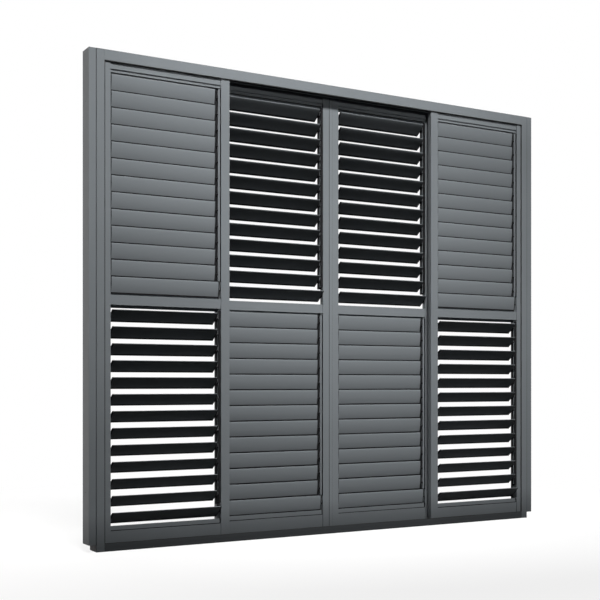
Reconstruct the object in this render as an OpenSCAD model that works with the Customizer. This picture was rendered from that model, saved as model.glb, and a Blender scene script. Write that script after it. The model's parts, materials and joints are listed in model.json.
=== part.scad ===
// Louvred sliding shutter wall: a two-track outer frame with four leaves.
// Each leaf has two banks of tilting blades.
// X runs along the wall, the front faces -Y and Z is up.
// The origin is on the floor, at the middle of the frame.

/* [Leaves] */
// Width of one sliding leaf
panel_w = 655; // [560:5:800]
// Thickness of a leaf at its stiles
panel_t = 28; // [24:1:32]
// Face width of a stile
stile_w = 46; // [40:1:60]
// How much narrower than a stile the lap of two leaves is
lap_step = 1; // [0:0.5:4]
// Gap between the two middle leaves where they meet
meeting_gap = 2; // [1:0.5:6]
// Width of the cover strip on the meeting stiles
cover_strip_w = 18; // [12:1:30]
// Thickness of that cover strip
cover_strip_t = 1.5; // [1:0.1:1.8]
// Thickness of the rails
rail_t = 20; // [18:1:22]
// Wall of the hollow stiles and rails
wall = 2; // [1.5:0.1:2.5]
// Height of the bottom rail
bottom_rail_h = 75; // [60:1:90]
// Height of the middle rail
mid_rail_h = 46; // [36:1:60]
// Height of the top rail
top_rail_h = 52; // [46:1:80]
// Height of the ledge that stands on the bottom rail
ledge_h = 24; // [16:1:30]
// Thickness of that ledge
ledge_t = 3; // [2:0.5:4]
// How far the ledge stands back from the rail's face
ledge_recess = 3; // [2:0.5:4]
// Height of the stop strip under the top rail
stop_strip_h = 18; // [8:1:24]
// Width of the bearing strip beside the right stile
bearing_strip_w = 11; // [8:0.5:16]
// Thickness of the stop and bearing strips
strip_t = 10; // [9:0.5:14]
// Thickness of the light stop behind the blades' right ends
light_stop_t = 2.5; // [1.5:0.25:3.5]
// Gap between a blade's right end cap and the light stop
light_stop_gap = 2; // [1:0.25:4]
// Thickness of the lips that hang behind the top blades of the banks
stop_lip_t = 2.5; // [1.5:0.25:3]
// How far a lip, or the foot of the light stop, laps behind a closed blade
stop_lap = 6; // [3:0.5:8]

/* [Blades] */
// Blades in one bank
blades_per_bank = 13; // [4:1:13]
// Width of a blade from tip to tip
blade_w = 84; // [83:1:90]
// Thickness of a blade at its middle
blade_t = 11; // [10:0.5:12]
// Radius of a blade's two edges
blade_edge_r = 2; // [1.5:0.1:2.5]
// Wall of the hollow blade
blade_wall = 1.4; // [1:0.1:1.8]
// How far two closed blades overlap
blade_lap = 6; // [3:0.5:8]
// Tilt from the horizontal with the bank open, front edge up
open_tilt = 40; // [37:1:45]
// Tilt from the horizontal with the bank closed
closed_tilt = 82; // [80:0.5:84]
// Gap from a blade's left end to its stile
left_gap = 3.5; // [3:0.5:6]
// Gap from a blade's right end to the bearing strip
right_gap = 16; // [10:0.5:24]
// Gap from the lowest blade's right end to the right stile
drive_gap = 8; // [5:0.5:10]
// Thickness of the end caps
cap_t = 2.2; // [1.5:0.1:2.5]
// Length of the plug by which a cap sits in its blade
plug_len = 8; // [4:1:14]
// Radius of the pivot pins
pin_r = 3; // [2:0.25:3.5]
// Radius of the shoulder between a cap and the bearing strip
shoulder_r = 4.6; // [4:0.2:5.4]
// How far a pivot pin reaches into the bearing strip
strip_pin_len = 9; // [6:0.5:10]

/* [Tilt linkage] */
// Distance from a pivot to its crank pin
crank_r = 7.5; // [6.5:0.25:7.75]
// Radius of a crank pin
crank_pin_r = 2; // [1.5:0.1:2.2]
// Radius of the lever's round ends
lever_r = 4; // [3.6:0.1:4.2]
// Thickness of the lever
lever_t = 3.5; // [2.5:0.25:5]
// Thickness of the link rod
rod_t = 3.5; // [2.5:0.25:5]
// Width of the link rod
rod_w = 7; // [6:0.25:7.25]

/* [Rollers] */
// Radius of a roller where it runs on its track
roller_r = 12; // [10:0.5:14]
// Depth of the groove in a roller
groove_depth = 2; // [1:0.25:3]
// Width of a roller
roller_w = 9; // [8:0.5:12]
// Radius of a roller's axle
axle_r = 3; // [2:0.25:4]
// Distance of a roller from the middle of its leaf
roller_offset = 200; // [120:5:240]

/* [Frame] */
// Distance between the mid-planes of the two tracks
track_spacing = 50; // [50:1:60]
// Face width of a jamb
jamb_face = 38; // [32:1:50]
// Depth of a jamb's hollow back
jamb_back = 12; // [8:1:16]
// Distance from a closed leaf's edge to the outside of its jamb
edge_set = 24; // [20:1:28]
// Face height of the head rail
head_face = 49; // [42:1:60]
// Height of the head rail's hollow back
head_back = 14; // [10:1:20]
// How far the leaves reach up into the head rail
head_lap = 18; // [12:1:20]
// Height of the sill's two outer lips
sill_lip_h = 36; // [24:1:40]
// Height of the sill's middle lip
sill_mid_lip_h = 22; // [14:1:28]
// Thickness of the sill's base
sill_base_t = 4; // [3:0.5:6]
// Height of the track above the sill's base
track_rise = 6; // [4:0.5:8]
// Width of the track
track_w = 4; // [3:0.25:5]
// Thickness of the frame's lips and fins
fin_t = 3; // [2:0.25:4]
// Running room between a leaf and a lip of the frame
lip_room = 3; // [2:0.5:5]
// Running room between a leaf and the middle rib
rib_room = 2; // [1.5:0.25:4]
// Width of the side posts
post_w = 36; // [28:1:50]
// Wall of the side posts
post_wall = 2.5; // [2:0.25:4]
// How far a side post stands back from the frame's face
post_recess = 2; // [1:0.5:5]
// Height of a side post's foot above the floor
post_foot = 33; // [20:1:60]
// Radius of the fixing holes in the side posts
fixing_r = 3.3; // [2.5:0.1:4.5]
// Distance of the fixing holes from the ends of a side post
fixing_inset = 240; // [100:10:400]

/* [Clearances] */
// Radial room of a pin in its bore
pin_play = 0.05; // [0.02:0.01:0.1]
// Room between a cap's plug and its blade
plug_play = 0.2; // [0.1:0.05:0.3]
// Room between a roller and its track
roller_play = 0.3; // [0.2:0.05:0.5]
// Room on each side of the track in a roller's groove
groove_play = 0.5; // [0.4:0.1:0.8]
// Side room of the levers and the link rod
link_play = 1; // [0.5:0.1:1.5]
// Room between the cover strip and the leaf that it laps
cover_play = 0.3; // [0.2:0.05:0.6]
// Room between the cover strip's top and the head
cover_head_gap = 3; // [2:0.5:8]
// Clear height between the closed lower bank and the bottom rail
bank_foot_gap = 17.5; // [14:0.5:22]
// Clear height between the closed lower bank and the middle rail
bank_head_gap = 8; // [4:0.5:14]
// Clear height between the middle rail and the closed upper bank
mid_gap = 1; // [1:0.1:4]
// Clear height between the closed upper bank and the stop strip
stop_gap = 3.5; // [2:0.5:10]
// Clear height between a lowest blade and the bearing strip
strip_foot_gap = 4; // [2:0.5:8]
// Clear height between the track and a leaf
panel_lift = 6; // [3:0.5:7]

/* [Hidden] */
$fn = 48;
// Fineness of the blades' long arcs
arc_fn = 720;
// One overrun serves all cuts
cut = 1;
colour_frame = "#4a4e52";
colour_blade = "#53575b";
colour_black = "#17181a";

// Blade section: half sizes, and the radius of the long arcs that run tangent into the round edges
function arc_radius(tip, half, edge) = (tip * tip + half * half - edge * edge) / (2 * (half - edge));
blade_tip = blade_w / 2 - blade_edge_r;
blade_half = blade_t / 2;
cavity_edge_r = blade_edge_r / 2;
cavity_half = blade_half - blade_wall;
cavity_tip = blade_tip - blade_wall - blade_edge_r;
closed_reach = blade_tip * sin(closed_tilt) + blade_edge_r;
pitch = blade_w - blade_lap;
bank_span = (blades_per_bank - 1) * pitch;
crank_angle = (open_tilt + closed_tilt) / 2;

// Heights, from the floor up
track_top = sill_base_t + track_rise;
panel_z = track_top + panel_lift;
bottom_rail_top = panel_z + bottom_rail_h;
lower_pivot_z = bottom_rail_top + bank_foot_gap + closed_reach;
mid_rail_z = lower_pivot_z + bank_span + closed_reach + bank_head_gap;
mid_rail_top = mid_rail_z + mid_rail_h;
upper_pivot_z = mid_rail_top + mid_gap + closed_reach;
stop_strip_z = upper_pivot_z + bank_span + closed_reach + stop_gap;
top_rail_z = stop_strip_z + stop_strip_h;
panel_top = top_rail_z + top_rail_h;
panel_h = panel_top - panel_z;
head_z = panel_top - head_lap;
frame_h = head_z + head_face;
axle_z = track_top + roller_play + roller_r;

// Widths, from the middle of the wall out
opening = panel_w - 2 * stile_w;
lap = stile_w - lap_step;
inner_centre = (meeting_gap + panel_w) / 2;
outer_centre = inner_centre + panel_w - lap;
frame_half = outer_centre + panel_w / 2 + edge_set;
strip_x = opening / 2 - bearing_strip_w;
blade_left = -opening / 2 + left_gap;
blade_right = strip_x - right_gap;
drive_right = opening / 2 - drive_gap;

// Depths, from the middle of the frame out
track_y = track_spacing / 2;
frame_half_d = track_y + panel_t / 2 + lip_room + fin_t;
rib_half = track_y - panel_t / 2 - rib_room;
post_half_d = frame_half_d - post_recess;

// Tilt linkage inside the left stile, measured from the stile's inner face into the stile
lever_x = wall + link_play;
rod_x = lever_x + lever_t + link_play;
rod_left = -opening / 2 - rod_x - rod_t;
crank_pin_end = rod_x + rod_t + link_play;

// The four leaves: place along the wall, track, and tilt of the upper and of the lower bank
leaf_x = [-outer_centre, -inner_centre, inner_centre, outer_centre];
leaf_y = [-track_y, track_y, track_y, -track_y];
upper_tilts = [closed_tilt, open_tilt, open_tilt, closed_tilt];
lower_tilts = [open_tilt, closed_tilt, closed_tilt, open_tilt];

function leaf_name(leaf, piece) = str("panel_", leaf + 1, "_", piece);
function blade_name(bank, place) = leaf_name(0, str(bank, "_blade_", place < 9 ? "0" : "", place + 1));

blade_places = [for (place = [0:blades_per_bank - 1]) place];

// A 2D section drawn as depth by height, pushed along the wall from one place to another
module along_x(from, to) {
    translate([from, 0, 0])
        rotate([90, 0, 90])
            linear_extrude(to - from)
                children();
}

// A round bar along the wall
module bar_x(radius, from, to) {
    translate([from, 0, 0])
        rotate([0, 90, 0])
            cylinder(r = radius, h = to - from);
}

// A rectangle by its two limits on each axis
module box_2d(across, up) {
    translate([across[0], up[0]])
        square([across[1] - across[0], up[1] - up[0]]);
}

// A hollow rectangle
module tube_2d(across, up, thickness) {
    difference() {
        box_2d(across, up);
        box_2d([across[0] + thickness, across[1] - thickness], [up[0] + thickness, up[1] - thickness]);
    }
}

// Middle of a lens section: the overlap of two large discs, ended where the round edges take over
module lens_body(tip, half, edge) {
    arc = arc_radius(tip, half, edge);
    flank = tip * arc / (arc - edge);
    intersection() {
        translate([0, half - arc])
            circle(r = arc, $fn = arc_fn);
        translate([0, arc - half])
            circle(r = arc, $fn = arc_fn);
        box_2d([-flank, flank], [-half, half]);
    }
}

// Outside of a blade: the lens with its two round edges
module blade_outline() {
    lens_body(blade_tip, blade_half, blade_edge_r);
    for (side = [-1, 1])
        translate([side * blade_tip, 0])
            circle(r = blade_edge_r);
}

// Hollow of a blade, or with some play the plug that goes into it
module cavity_outline(play = 0) {
    lens_body(cavity_tip, cavity_half - play, cavity_edge_r - play);
    for (side = [-1, 1])
        translate([side * cavity_tip, 0])
            circle(r = cavity_edge_r - play);
}

// Pivot at the right end: into the bearing strip, or straight into the stile on the lowest blade
module right_pivot(end, driving) {
    seat = driving ? opening / 2 : strip_x;
    reach = driving ? wall : strip_pin_len;
    bar_x(shoulder_r, end + cap_t, seat - link_play);
    bar_x(pin_r, seat - link_play, seat + reach);
}

// Pivot at the left end: through the inner wall of the stile
module left_pivot(reach) {
    bar_x(pin_r, -opening / 2 - reach, blade_left - cap_t);
}

// Lever on the left pivot, with the crank pin that the link rod hangs on
module crank() {
    along_x(-opening / 2 - lever_x - lever_t, -opening / 2 - lever_x) {
        circle(r = lever_r);
        rotate(crank_angle) {
            box_2d([0, crank_r], [-lever_r, lever_r]);
            translate([crank_r, 0])
                circle(r = lever_r);
        }
    }
    rotate([crank_angle, 0, 0])
        translate([0, crank_r, 0])
            bar_x(crank_pin_r, -opening / 2 - crank_pin_end, -opening / 2 - lever_x);
}

// A cap on one end of a blade: its plate, and the plug that holds it in the hollow blade
module end_cap(end, side) {
    outer = end + side * cap_t;
    inner = end - side * plug_len;
    along_x(min(end, outer), max(end, outer))
        blade_outline();
    along_x(min(end, inner), max(end, inner))
        cavity_outline(plug_play);
}

// A working blade about its own pivot: hollow section, two end caps with pivots, and the crank
module working_blade(driving) {
    end = driving ? drive_right : blade_right;
    color(colour_blade)
        along_x(blade_left + plug_play, end - plug_play)
            difference() {
                blade_outline();
                cavity_outline();
            }
    color(colour_black) {
        end_cap(blade_left, -1);
        left_pivot(lever_x);
        crank();
        end_cap(end, 1);
        right_pivot(end, driving);
    }
}

// A blade of the leaves whose banks stay as they are set: section and caps in one
module set_blade(driving) {
    end = driving ? drive_right : blade_right;
    color(colour_blade) {
        difference() {
            along_x(blade_left - cap_t, end + cap_t)
                blade_outline();
            along_x(blade_left, end)
                cavity_outline();
        }
        left_pivot(wall);
        right_pivot(end, driving);
    }
}

// Puts a blade at its place in a bank, tilted with its front edge up
module at_pivot(first_z, place, tilt) {
    translate([0, 0, first_z + place * pitch])
        rotate([-tilt, 0, 0])
            children();
}

// Puts a piece of a leaf, drawn about the middle of the leaf, at its place in the wall
module in_leaf(leaf) {
    translate([leaf_x[leaf], leaf_y[leaf], 0])
        children();
}

// A hollow stile between two limits across the leaf
module stile(from, to) {
    translate([0, 0, panel_z])
        linear_extrude(panel_h)
            tube_2d([from, to], [-panel_t / 2, panel_t / 2], wall);
}

// The left stile carries the left pivot of every blade
module left_stile() {
    color(colour_frame)
        difference() {
            stile(-panel_w / 2, -opening / 2);
            for (first_z = [lower_pivot_z, upper_pivot_z])
                for (place = blade_places)
                    translate([0, 0, first_z + place * pitch])
                        bar_x(pin_r + pin_play, -opening / 2 - wall - cut, -opening / 2 + cut);
        }
}

// The right stile carries the right pivot of the lowest blade of each bank
module right_stile() {
    color(colour_frame)
        difference() {
            stile(opening / 2, panel_w / 2);
            for (first_z = [lower_pivot_z, upper_pivot_z])
                translate([0, 0, first_z])
                    bar_x(pin_r + pin_play, opening / 2 - cut, opening / 2 + wall + cut);
        }
}

// A strip that stands between two heights, by its limits across the leaf and in depth
module upright(across, deep, from, to) {
    translate([0, 0, from])
        linear_extrude(to - from)
            box_2d(across, deep);
}

// Strips with the bearings of the other right pivots, one beside each bank.
// A light stop runs along their back and ends behind the lowest blade's upper edge.
module bearing_strips() {
    light_stop_x = blade_right + cap_t + light_stop_gap;
    strip_back = strip_t / 2;
    color(colour_frame)
        for (bank = [[lower_pivot_z, mid_rail_z], [upper_pivot_z, stop_strip_z]])
            difference() {
                union() {
                    blade_top = bank[0] + closed_reach;
                    upright([strip_x, opening / 2], [-strip_back, strip_back],
                            blade_top + strip_foot_gap, bank[1]);
                    upright([light_stop_x, opening / 2], [strip_back, strip_back + light_stop_t],
                            blade_top - stop_lap, bank[1]);
                }
                for (place = [1:blades_per_bank - 1])
                    translate([0, 0, bank[0] + place * pitch])
                        bar_x(pin_r + pin_play, strip_x - cut, opening / 2 + cut);
            }
}

// Lip that hangs behind the top blade of a bank and closes the view over it, up to the bearing strip
module stop_lip(from, gap) {
    along_x(-opening / 2, strip_x)
        box_2d([strip_t / 2 - stop_lip_t, strip_t / 2], [from - gap - stop_lap, from]);
}

// Top rail with the stop strip under it
module top_rail() {
    color(colour_frame) {
        along_x(-opening / 2, opening / 2) {
            tube_2d([-rail_t / 2, rail_t / 2], [top_rail_z, panel_top], wall);
            box_2d([-strip_t / 2, strip_t / 2], [stop_strip_z, top_rail_z]);
        }
        stop_lip(stop_strip_z, stop_gap);
    }
}

module mid_rail() {
    color(colour_frame) {
        along_x(-opening / 2, opening / 2)
            tube_2d([-rail_t / 2, rail_t / 2], [mid_rail_z, mid_rail_top], wall);
        stop_lip(mid_rail_z, bank_head_gap);
    }
}

// Bottom rail: an upside-down channel over the rollers, with the ledge on its back
module bottom_rail() {
    ledge_y = -rail_t / 2 + ledge_recess;
    color(colour_frame)
        difference() {
            along_x(-opening / 2, opening / 2) {
                difference() {
                    box_2d([-rail_t / 2, rail_t / 2], [panel_z, bottom_rail_top]);
                    box_2d([-rail_t / 2 + wall, rail_t / 2 - wall],
                           [panel_z - cut, bottom_rail_top - wall]);
                }
                box_2d([ledge_y, ledge_y + ledge_t], [bottom_rail_top, bottom_rail_top + ledge_h]);
            }
            for (side = [-1, 1])
                axle_bar(side * roller_offset, axle_r + pin_play, rail_t / 2 + cut);
        }
}

// A round bar through a bottom rail, at a roller's place
module axle_bar(x, radius, half_length) {
    translate([x, half_length, axle_z])
        rotate([90, 0, 0])
            cylinder(r = radius, h = 2 * half_length);
}

// A grooved roller on its axle
module roller(x) {
    rim_r = roller_r + groove_depth;
    groove_half = track_w / 2 + groove_play;
    color(colour_black) {
        translate([x, 0, axle_z])
            rotate([90, 0, 0])
                rotate_extrude()
                    difference() {
                        box_2d([0, rim_r], [-roller_w / 2, roller_w / 2]);
                        box_2d([roller_r, rim_r + cut], [-groove_half, groove_half]);
                    }
        axle_bar(x, axle_r, rail_t / 2);
    }
}

// A flat rod that hangs on the crank pins of one bank and keeps its blades together
module link_rod(first_z, tilt) {
    rod_end = rod_w / 2 + crank_pin_r;
    color(colour_black)
        translate([0, crank_r * cos(crank_angle - tilt), first_z + crank_r * sin(crank_angle - tilt)])
            difference() {
                along_x(rod_left, rod_left + rod_t)
                    box_2d([-rod_w / 2, rod_w / 2], [-rod_end, bank_span + rod_end]);
                for (place = blade_places)
                    translate([0, 0, place * pitch])
                        bar_x(crank_pin_r + pin_play, rod_left - cut, rod_left + rod_t + cut);
            }
}

// Strip on the third leaf that covers the joint of the two middle leaves, up to the head's rib
module cover_strip() {
    edge = -panel_w / 2;
    joint = edge - meeting_gap / 2;
    seat = -panel_t / 2;
    back = seat - cover_play;
    color(colour_frame)
        translate([0, 0, panel_z])
            linear_extrude(head_z - cover_head_gap - panel_z) {
                box_2d([joint - cover_strip_w / 2, joint + cover_strip_w / 2], [back - cover_strip_t, back]);
                box_2d([edge, joint + cover_strip_w / 2], [back, seat]);
            }
}

module stiles() {
    left_stile();
    right_stile();
}

// The bearing strips of a leaf, with the cover strip on the third one
module strips(leaf) {
    bearing_strips();
    if (leaf == 2)
        cover_strip();
}

// All blades of a leaf whose banks stay as they are set
module louvres(leaf) {
    for (place = blade_places) {
        at_pivot(lower_pivot_z, place, lower_tilts[leaf])
            set_blade(place == 0);
        at_pivot(upper_pivot_z, place, upper_tilts[leaf])
            set_blade(place == 0);
    }
}

// A bottom rail with its two rollers
module rolling_rail() {
    bottom_rail();
    for (side = [-1, 1])
        roller(side * roller_offset);
}

// Jamb section: hollow back, two outer fins and a hollow middle rib, drawn with the wall on the left
module jamb() {
    linear_extrude(frame_h) {
        tube_2d([0, jamb_back], [-frame_half_d, frame_half_d], wall);
        for (side = [-1, 1])
            translate([0, side * (frame_half_d - fin_t / 2)])
                box_2d([jamb_back, jamb_face], [-fin_t / 2, fin_t / 2]);
        tube_2d([jamb_back - wall, jamb_face], [-rib_half, rib_half], wall);
    }
}

module left_jamb() {
    color(colour_frame)
        translate([-frame_half, 0, 0])
            jamb();
}

module right_jamb() {
    color(colour_frame)
        mirror([1, 0, 0])
            translate([-frame_half, 0, 0])
                jamb();
}

// Head rail: hollow back, two outer fins and a hollow middle rib, open downwards
module head_rail() {
    back_z = frame_h - head_back;
    color(colour_frame)
        along_x(-frame_half + jamb_face, frame_half - jamb_face) {
            tube_2d([-frame_half_d, frame_half_d], [back_z, frame_h], wall);
            for (side = [-1, 1])
                translate([side * (frame_half_d - fin_t / 2), 0])
                    box_2d([-fin_t / 2, fin_t / 2], [head_z, back_z]);
            tube_2d([-rib_half, rib_half], [head_z, back_z + wall], wall);
        }
}

// Sill: base, two outer lips, a middle lip and two round-topped tracks
module sill_rail() {
    color(colour_frame)
        along_x(-frame_half + jamb_face, frame_half - jamb_face) {
            box_2d([-frame_half_d, frame_half_d], [0, sill_base_t]);
            for (side = [-1, 1]) {
                translate([side * (frame_half_d - fin_t / 2), 0])
                    box_2d([-fin_t / 2, fin_t / 2], [0, sill_lip_h]);
                translate([side * track_y, 0]) {
                    box_2d([-track_w / 2, track_w / 2], [0, track_top - track_w / 2]);
                    translate([0, track_top - track_w / 2])
                        circle(r = track_w / 2);
                }
            }
            box_2d([-fin_t / 2, fin_t / 2], [0, sill_mid_lip_h]);
        }
}

// Side post: a channel that closes against its jamb, with fixing holes in its web
module side_post() {
    difference() {
        translate([-frame_half - post_w, 0, post_foot])
            linear_extrude(frame_h - post_foot)
                difference() {
                    box_2d([0, post_w], [-post_half_d, post_half_d]);
                    box_2d([post_wall, post_w + cut], [-post_half_d + post_wall, post_half_d - post_wall]);
                }
        for (z = [post_foot + fixing_inset, frame_h - fixing_inset])
            translate([0, 0, z])
                bar_x(fixing_r, -frame_half - post_w - cut, -frame_half - post_w + post_wall + cut);
    }
}

module left_side_post() {
    color(colour_frame)
        side_post();
}

module right_side_post() {
    color(colour_frame)
        mirror([1, 0, 0])
            side_post();
}

head_rail();
sill_rail();
left_jamb();
right_jamb();
left_side_post();
right_side_post();

in_leaf(0) left_stile();  // panel_1_left_stile
in_leaf(0) right_stile();  // panel_1_right_stile
in_leaf(0) top_rail();  // panel_1_top_rail
in_leaf(0) mid_rail();  // panel_1_mid_rail
in_leaf(0) bottom_rail();  // panel_1_bottom_rail
in_leaf(0) bearing_strips();  // panel_1_bearing_strips
in_leaf(0) link_rod(upper_pivot_z, upper_tilts[0]);  // panel_1_upper_link_rod
in_leaf(0) link_rod(lower_pivot_z, lower_tilts[0]);  // panel_1_lower_link_rod
in_leaf(0) roller(-roller_offset);  // panel_1_left_roller
in_leaf(0) roller(roller_offset);  // panel_1_right_roller

for (place = blade_places) {
    in_leaf(0) at_pivot(upper_pivot_z, place, upper_tilts[0]) working_blade(place == 0);
    in_leaf(0) at_pivot(lower_pivot_z, place, lower_tilts[0]) working_blade(place == 0);
}

for (leaf = [1:3]) {
    in_leaf(leaf) stiles();
    in_leaf(leaf) top_rail();
    in_leaf(leaf) mid_rail();
    in_leaf(leaf) rolling_rail();
    in_leaf(leaf) strips(leaf);
    in_leaf(leaf) louvres(leaf);
}
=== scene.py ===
# %% [markdown]
# # A louvred sliding shutter
#
# The object is a terrace shutter of anthracite, powder-coated aluminium: a two-track frame with four sliding leaves,
# and in each leaf two banks of thirteen lens-shaped blades. The CAD model already has every size and every joint.
# This lesson dresses it: rounded edges on the profiles, smooth blades with black end caps, brush seals and screws,
# a finish for each surface, and a white studio. The first step loads the CAD model as a fixed frame. At the end the
# dressed model may not have grown out of it.

# %% Load the imported model
import json
from math import atan2, cos, pi, radians, sin

import bmesh
import bpy
from mathutils import Matrix, Vector


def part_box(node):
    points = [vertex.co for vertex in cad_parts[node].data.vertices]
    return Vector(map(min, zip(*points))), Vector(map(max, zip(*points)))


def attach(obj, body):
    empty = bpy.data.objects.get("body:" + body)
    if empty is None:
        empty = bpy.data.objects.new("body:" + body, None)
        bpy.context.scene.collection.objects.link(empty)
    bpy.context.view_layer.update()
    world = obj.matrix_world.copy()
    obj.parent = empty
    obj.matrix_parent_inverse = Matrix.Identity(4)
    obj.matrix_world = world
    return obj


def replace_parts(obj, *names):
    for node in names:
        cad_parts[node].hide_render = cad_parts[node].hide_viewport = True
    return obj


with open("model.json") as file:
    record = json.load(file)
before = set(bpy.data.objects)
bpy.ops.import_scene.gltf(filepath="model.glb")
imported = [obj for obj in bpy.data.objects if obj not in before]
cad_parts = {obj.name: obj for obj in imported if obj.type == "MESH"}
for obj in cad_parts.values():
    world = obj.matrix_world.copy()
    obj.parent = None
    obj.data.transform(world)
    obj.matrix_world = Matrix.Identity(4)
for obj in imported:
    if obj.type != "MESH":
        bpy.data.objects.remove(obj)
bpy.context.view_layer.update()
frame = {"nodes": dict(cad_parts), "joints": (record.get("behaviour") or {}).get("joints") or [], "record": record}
MM = 0.001

# %% [markdown]
# ## The camera
#
# The photograph looks at the shutter from the left, level, from about hip height, and the verticals stay upright. A
# camera that is tilted up would make them lean, so the camera stays level and its shift moves the picture up. The
# place, the turn and the lens come from measuring where edges of known size fall in the photograph.

# %% Camera
camera_place = (-2.962, -4.799, 0.7735)
camera_turn = radians(-30)
lens_mm = 65.07
picture_shift = 0.1387

camera = bpy.data.objects.new("camera", bpy.data.cameras.new("camera"))
bpy.context.scene.collection.objects.link(camera)
camera.location = camera_place
camera.rotation_euler = (radians(90), 0, camera_turn)
camera.data.lens = lens_mm
camera.data.shift_y = picture_shift
bpy.context.scene.camera = camera
bpy.context.scene.view_settings.view_transform = "Standard"
print("camera at", camera_place, "lens", lens_mm, "shift", picture_shift)

# %% [markdown]
# ## Finishes
#
# Every finish is a small node tree on Object coordinates, so a pattern has its real size in metres and stays on the
# piece when a leaf slides or a blade tilts. Helpers that add a node and fill its sockets keep the trees short. They
# link a socket if they are given another node's output, and set a plain value otherwise.

# %% Helpers for node trees
def plug(tree, socket, value):
    """Link another node's output into a socket, or set the socket to a plain value."""
    if isinstance(value, bpy.types.NodeSocket):
        tree.links.new(value, socket)
    else:
        socket.default_value = value


def add(tree, kind, **sockets):
    """Add a node; a socket name has _ for a space, and its value is a number, a colour or another node's output."""
    node = tree.nodes.new(kind)
    for socket, value in sockets.items():
        plug(tree, node.inputs[socket.replace("_", " ")], value)
    return node


def maths(tree, operation, *values):
    """The result of a Math node; each value is a number or another node's output."""
    node = tree.nodes.new("ShaderNodeMath")
    node.operation = operation
    for socket, value in zip(node.inputs, values):
        plug(tree, socket, value)
    return node.outputs[0]


def new_finish(name):
    """Return an empty material, its tree, its Principled shader and its Object coordinates."""
    finish = bpy.data.materials.new(name)
    finish.use_nodes = True
    tree = finish.node_tree
    tree.nodes.clear()
    shader = add(tree, "ShaderNodeBsdfPrincipled")
    add(tree, "ShaderNodeOutputMaterial", Surface=shader.outputs["BSDF"])
    place = add(tree, "ShaderNodeTexCoord").outputs["Object"]
    return finish, tree, shader, place


print("node helpers ready")

# %% [markdown]
# A finish needs few patterns: a cloudy noise of a known size, the same noise spread over a range of values, a colour
# that a noise moves between a dark and a light tone, and a shallow bump.

# %% Helpers for patterns
SOFT, FINE = 2.0, 3.0
NOISE_LOW, NOISE_HIGH = 0.3, 0.7
MIX_DARK, MIX_LIGHT, MIX_COLOUR = 6, 7, 2


def noise(tree, place, size, detail=SOFT, stretch=(1, 1, 1)):
    """Cloudy values around 0.5 whose lumps are about size metres across, longer where stretch is above 1."""
    mapping = add(tree, "ShaderNodeMapping", Vector=place, Scale=[1 / s for s in stretch])
    texture = add(tree, "ShaderNodeTexNoise", Vector=mapping.outputs["Vector"], Scale=1 / size, Detail=detail)
    return texture.outputs["Fac"]


def ranged(tree, value, low, high):
    """Spread the middle of a noise over low to high."""
    ramp = add(tree, "ShaderNodeMapRange", Value=value, To_Min=low, To_Max=high, From_Min=NOISE_LOW,
               From_Max=NOISE_HIGH)
    return ramp.outputs["Result"]


def tinted(tree, factor, dark, light):
    """A colour between dark and light; each is three numbers or another node's output."""
    blend = tree.nodes.new("ShaderNodeMix")
    blend.data_type = "RGBA"
    plug(tree, blend.inputs["Factor"], factor)
    for index, colour in ((MIX_DARK, dark), (MIX_LIGHT, light)):
        plug(tree, blend.inputs[index], colour if isinstance(colour, bpy.types.NodeSocket) else (*colour, 1))
    return blend.outputs[MIX_COLOUR]


def bumped(tree, shader, height, strength, depth):
    """Let a noise stand up as bumps that are depth metres high."""
    bump = add(tree, "ShaderNodeBump", Strength=strength, Distance=depth, Height=height)
    plug(tree, shader.inputs["Normal"], bump.outputs["Normal"])


print("pattern helpers ready")

# %% [markdown]
# ### Powder coat
#
# The profiles are sprayed with a matt anthracite powder that is baked on. Close up it has an even, sandy grain about a
# millimetre across; over a whole profile it drifts a little in tone and in gloss. A flat colour would look like
# plastic, so the drift moves the colour and the roughness, and the grain moves the colour and a shallow bump. Two
# noises around 0.5 multiply to 0.25, so another 0.25 brings them back to the middle. Specular is low, because the
# powder is matt. Near the floor the colour is scaled down by the height above it: painted shade, for the light that
# falls off towards the floor.

# %% Powder coat for the frame and the leaves
ANTHRACITE = Vector((0.125, 0.136, 0.144))
BLADE_TONE, BLADE_STRETCH, FRAME_FOOT_SHADE = 0.97, (6, 1, 1), 0.5
FRAME_GRAIN, BLADE_GRAIN = 1.1 * MM, 0.9 * MM
DRIFT_SIZE, TONE_SPAN, TO_MIDDLE = 0.35, 0.08, 0.25
# FOOT_LOW to FOOT_HIGH is the band over the floor where the coat is darkened as painted shade.
FOOT_LOW, FOOT_HIGH = 0.02, 0.17
COAT_ROUGHNESS, COAT_SPECULAR = (0.52, 0.64), 0.045
COAT_BUMP = {"strength": 0.25, "depth": 0.2 * MM}


def powder_coat(name, colour, grain, drift_stretch=(1, 1, 1), foot_shade=1.0):
    """A matt, sandy coat: grain is the size of its bumps in metres; foot_shade scales the colour down at the floor as
    painted shade.
    """
    finish, tree, shader, place = new_finish(name)
    drift = noise(tree, place, DRIFT_SIZE, FINE, drift_stretch)
    sand = noise(tree, place, grain)
    both = maths(tree, "MULTIPLY_ADD", drift, sand, TO_MIDDLE)
    shade = tinted(tree, ranged(tree, both, 0, 1), colour * (1 - TONE_SPAN), colour * (1 + TONE_SPAN))
    # Painted shade: the colour is scaled down towards the floor.
    height = add(tree, "ShaderNodeSeparateXYZ", Vector=place).outputs["Z"]
    tone = add(tree, "ShaderNodeMapRange", Value=height, From_Min=FOOT_LOW, From_Max=FOOT_HIGH, To_Min=foot_shade,
               To_Max=1.0)
    foot_shaded = add(tree, "ShaderNodeVectorMath", Vector=shade)
    foot_shaded.operation = "SCALE"
    plug(tree, foot_shaded.inputs["Scale"], tone.outputs["Result"])
    plug(tree, shader.inputs["Base Color"], foot_shaded.outputs["Vector"])
    plug(tree, shader.inputs["Roughness"], ranged(tree, drift, *COAT_ROUGHNESS))
    bumped(tree, shader, sand, **COAT_BUMP)
    shader.inputs["Specular IOR Level"].default_value = COAT_SPECULAR
    return finish


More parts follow.
